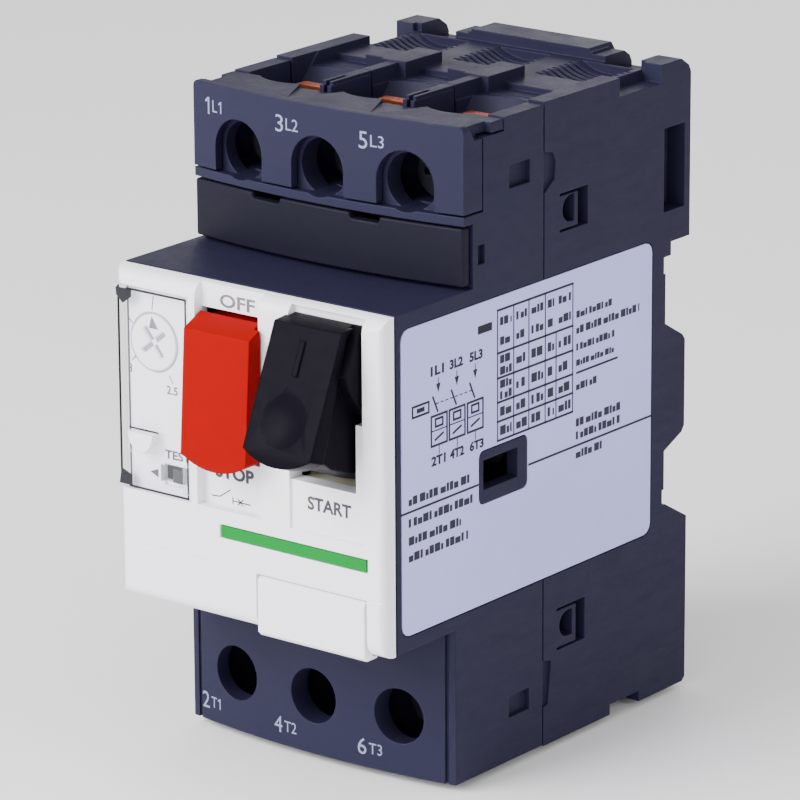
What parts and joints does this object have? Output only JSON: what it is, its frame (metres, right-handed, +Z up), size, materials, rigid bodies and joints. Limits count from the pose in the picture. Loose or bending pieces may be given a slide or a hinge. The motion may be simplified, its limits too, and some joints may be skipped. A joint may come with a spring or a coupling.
{
  "type": "motor protection breaker",
  "caption": "Three-pole motor protection breaker with red stop and black start push buttons, setting dial under a clear flap, and a DIN-rail clip.",
  "frame": {"origin": "centre of the DIN-rail seat: y = 0 is the plane the rail touches, z = 0 its centreline, x = 0 the middle pole", "axes": "+X to the right of a person facing the front, +Y to the rear into the rail, +Z up"},
  "size_m": [0.045, 0.0771, 0.0902],
  "materials": {
    "shell": "moulded blue-black thermoplastic, fine satin grain",
    "white": "moulded white thermoplastic, satin",
    "clear": "clear moulded polycarbonate",
    "red": "red moulded plastic, semi-gloss",
    "black": "black moulded plastic, semi-gloss",
    "green": "green inlaid plastic strip",
    "label": "satin silver-lavender printed film",
    "beige": "unpainted beige moulded plastic",
    "copper": "bright rolled copper",
    "steel": "zinc-plated steel",
    "bimetal": "rolled bimetal strip",
    "insulator": "dark glass-filled nylon"
  },
  "bodies": {
    "case": {"rear_housing": "shell", "front_housing": "shell", "upper_terminal_cover": "shell", "aux_slot_cover": "shell", "front_cover": "white", "corner_blank": "white", "front_stripe": "green", "button_pin": "steel", "mechanism_frame": "beige", "rating_label": "label", "line_terminal_1": "copper", "load_terminal_1": "copper", "arc_chute_1": "steel", "magnet_coil_1": "copper", "line_terminal_2": "copper", "load_terminal_2": "copper", "arc_chute_2": "steel", "magnet_coil_2": "copper", "line_terminal_3": "copper", "load_terminal_3": "copper", "arc_chute_3": "steel", "magnet_coil_3": "copper"},
    "start": {"start_button": "black"},
    "stop": {"stop_button": "red"},
    "window": {"setting_window": "clear"},
    "dial": {"setting_dial": "white", "setting_cam": "beige"},
    "lever": {"drive_lever": "steel"},
    "contacts": {"contact_carrier": "insulator", "moving_contact_1": "copper", "contact_spring_1": "steel", "moving_contact_2": "copper", "contact_spring_2": "steel", "moving_contact_3": "copper", "contact_spring_3": "steel"},
    "tester": {"test_slider": "insulator"},
    "tripper": {"trip_bar": "insulator"},
    "latch": {"trip_latch": "steel"},
    "rail_clip": {"din_clip": "insulator", "din_clip_spring": "steel"},
    "plunger_1": {"plunger_1": "steel"},
    "bimetal_1": {"bimetal_1": "bimetal"},
    "line_screw_1": {"line_screw_1": "steel"},
    "line_clamp_1": {"line_clamp_1": "steel"},
    "load_screw_1": {"load_screw_1": "steel"},
    "load_clamp_1": {"load_clamp_1": "steel"},
    "plunger_2": {"plunger_2": "steel"},
    "bimetal_2": {"bimetal_2": "bimetal"},
    "line_screw_2": {"line_screw_2": "steel"},
    "line_clamp_2": {"line_clamp_2": "steel"},
    "load_screw_2": {"load_screw_2": "steel"},
    "load_clamp_2": {"load_clamp_2": "steel"},
    "plunger_3": {"plunger_3": "steel"},
    "bimetal_3": {"bimetal_3": "bimetal"},
    "line_screw_3": {"line_screw_3": "steel"},
    "line_clamp_3": {"line_clamp_3": "steel"},
    "load_screw_3": {"load_screw_3": "steel"},
    "load_clamp_3": {"load_clamp_3": "steel"}
  },
  "joints": [
    {"name": "start_press", "type": "hinge", "parent": "case", "child": "start", "pos_m": [0.0124, -0.054, 0.019], "axis": [1, 0, 0], "range_deg": [0, 19.7]},
    {"name": "stop_press", "type": "hinge", "parent": "case", "child": "stop", "pos_m": [-0.003, -0.054, 0.019], "axis": [1, 0, 0], "range_deg": [-19.7, 0]},
    {"name": "lever_turn", "type": "hinge", "parent": "case", "child": "lever", "pos_m": [0, -0.042, 0.005], "axis": [1, 0, 0], "range_deg": [0, 19.7]},
    {"name": "contacts_slide", "type": "slide", "parent": "case", "child": "contacts", "axis": [0, -1, 0], "range_m": [0, 0.0029]},
    {"name": "dial_turn", "type": "hinge", "parent": "case", "child": "dial", "pos_m": [-0.0164, -0.061, 0.013], "axis": [0, -1, 0], "range_deg": [-30, 210]},
    {"name": "window_swing", "type": "hinge", "parent": "case", "child": "window", "pos_m": [-0.0221, -0.0598, 0.0065], "axis": [0, 0, -1], "range_deg": [0, 105]},
    {"name": "test_slide", "type": "slide", "parent": "case", "child": "tester", "axis": [-1, 0, 0], "range_m": [0, 0.0018], "stiffness_N_per_m": 120},
    {"name": "trip_slide", "type": "slide", "parent": "case", "child": "tripper", "axis": [-1, 0, 0], "range_m": [0, 0.0018]},
    {"name": "latch_turn", "type": "hinge", "parent": "case", "child": "latch", "pos_m": [0, -0.044, -0.01], "axis": [1, 0, 0], "range_deg": [0, 9]},
    {"name": "rail_clip_slide", "type": "slide", "parent": "case", "child": "rail_clip", "axis": [0, 0, -1], "range_m": [0, 0.003], "stiffness_N_per_m": 800, "deforming": ["din_clip_spring"]},
    {"name": "plunger_slide_1", "type": "slide", "parent": "case", "child": "plunger_1", "axis": [0, -1, 0], "range_m": [0, 0.002], "stiffness_N_per_m": 150},
    {"name": "bimetal_bend_1", "type": "hinge", "parent": "case", "child": "bimetal_1", "pos_m": [-0.0139, -0.0312, -0.0254], "axis": [0, -1, 0], "range_deg": [0, 3.4], "stiffness_Nm_per_rad": 2},
    {"name": "line_screw_turn_1", "type": "hinge", "parent": "case", "child": "line_screw_1", "pos_m": [-0.0139, -0.0391, 0.0361], "axis": [0, 1, 0], "range_deg": [0, 2160]},
    {"name": "line_clamp_slide_1", "type": "slide", "parent": "case", "child": "line_clamp_1", "axis": [0, 1, 0], "range_m": [0, 0.0042]},
    {"name": "load_screw_turn_1", "type": "hinge", "parent": "case", "child": "load_screw_1", "pos_m": [-0.0139, -0.041, -0.0361], "axis": [0, 1, 0], "range_deg": [0, 2160]},
    {"name": "load_clamp_slide_1", "type": "slide", "parent": "case", "child": "load_clamp_1", "axis": [0, 1, 0], "range_m": [0, 0.0042]},
    {"name": "plunger_slide_2", "type": "slide", "parent": "case", "child": "plunger_2", "axis": [0, -1, 0], "range_m": [0, 0.002], "stiffness_N_per_m": 150},
    {"name": "bimetal_bend_2", "type": "hinge", "parent": "case", "child": "bimetal_2", "pos_m": [0, -0.0312, -0.0254], "axis": [0, -1, 0], "range_deg": [0, 3.4], "stiffness_Nm_per_rad": 2},
    {"name": "line_screw_turn_2", "type": "hinge", "parent": "case", "child": "line_screw_2", "pos_m": [0, -0.0391, 0.0361], "axis": [0, 1, 0], "range_deg": [0, 2160]},
    {"name": "line_clamp_slide_2", "type": "slide", "parent": "case", "child": "line_clamp_2", "axis": [0, 1, 0], "range_m": [0, 0.0042]},
    {"name": "load_screw_turn_2", "type": "hinge", "parent": "case", "child": "load_screw_2", "pos_m": [0, -0.041, -0.0361], "axis": [0, 1, 0], "range_deg": [0, 2160]},
    {"name": "load_clamp_slide_2", "type": "slide", "parent": "case", "child": "load_clamp_2", "axis": [0, 1, 0], "range_m": [0, 0.0042]},
    {"name": "plunger_slide_3", "type": "slide", "parent": "case", "child": "plunger_3", "axis": [0, -1, 0], "range_m": [0, 0.002], "stiffness_N_per_m": 150},
    {"name": "bimetal_bend_3", "type": "hinge", "parent": "case", "child": "bimetal_3", "pos_m": [0.0139, -0.0312, -0.0254], "axis": [0, -1, 0], "range_deg": [0, 3.4], "stiffness_Nm_per_rad": 2},
    {"name": "line_screw_turn_3", "type": "hinge", "parent": "case", "child": "line_screw_3", "pos_m": [0.0139, -0.0391, 0.0361], "axis": [0, 1, 0], "range_deg": [0, 2160]},
    {"name": "line_clamp_slide_3", "type": "slide", "parent": "case", "child": "line_clamp_3", "axis": [0, 1, 0], "range_m": [0, 0.0042]},
    {"name": "load_screw_turn_3", "type": "hinge", "parent": "case", "child": "load_screw_3", "pos_m": [0.0139, -0.041, -0.0361], "axis": [0, 1, 0], "range_deg": [0, 2160]},
    {"name": "load_clamp_slide_3", "type": "slide", "parent": "case", "child": "load_clamp_3", "axis": [0, 1, 0], "range_m": [0, 0.0042]}
  ],
  "couplings": [
    {"joint": "stop_press", "follows": "start_press", "ratio": -1},
    {"joint": "lever_turn", "follows": "start_press", "ratio": 1},
    {"joint": "contacts_slide", "follows": "start_press", "m_per_rad": 0.008434},
    {"joint": "trip_slide", "follows": "test_slide", "ratio": 1},
    {"joint": "latch_turn", "follows": "test_slide", "rad_per_m": 87.258},
    {"joint": "line_screw_turn_1", "follows": "line_clamp_slide_1", "rad_per_m": 8975.1},
    {"joint": "load_screw_turn_1", "follows": "load_clamp_slide_1", "rad_per_m": 8975.1},
    {"joint": "line_screw_turn_2", "follows": "line_clamp_slide_2", "rad_per_m": 8975.1},
    {"joint": "load_screw_turn_2", "follows": "load_clamp_slide_2", "rad_per_m": 8975.1},
    {"joint": "line_screw_turn_3", "follows": "line_clamp_slide_3", "rad_per_m": 8975.1},
    {"joint": "load_screw_turn_3", "follows": "load_clamp_slide_3", "rad_per_m": 8975.1}
  ]
}
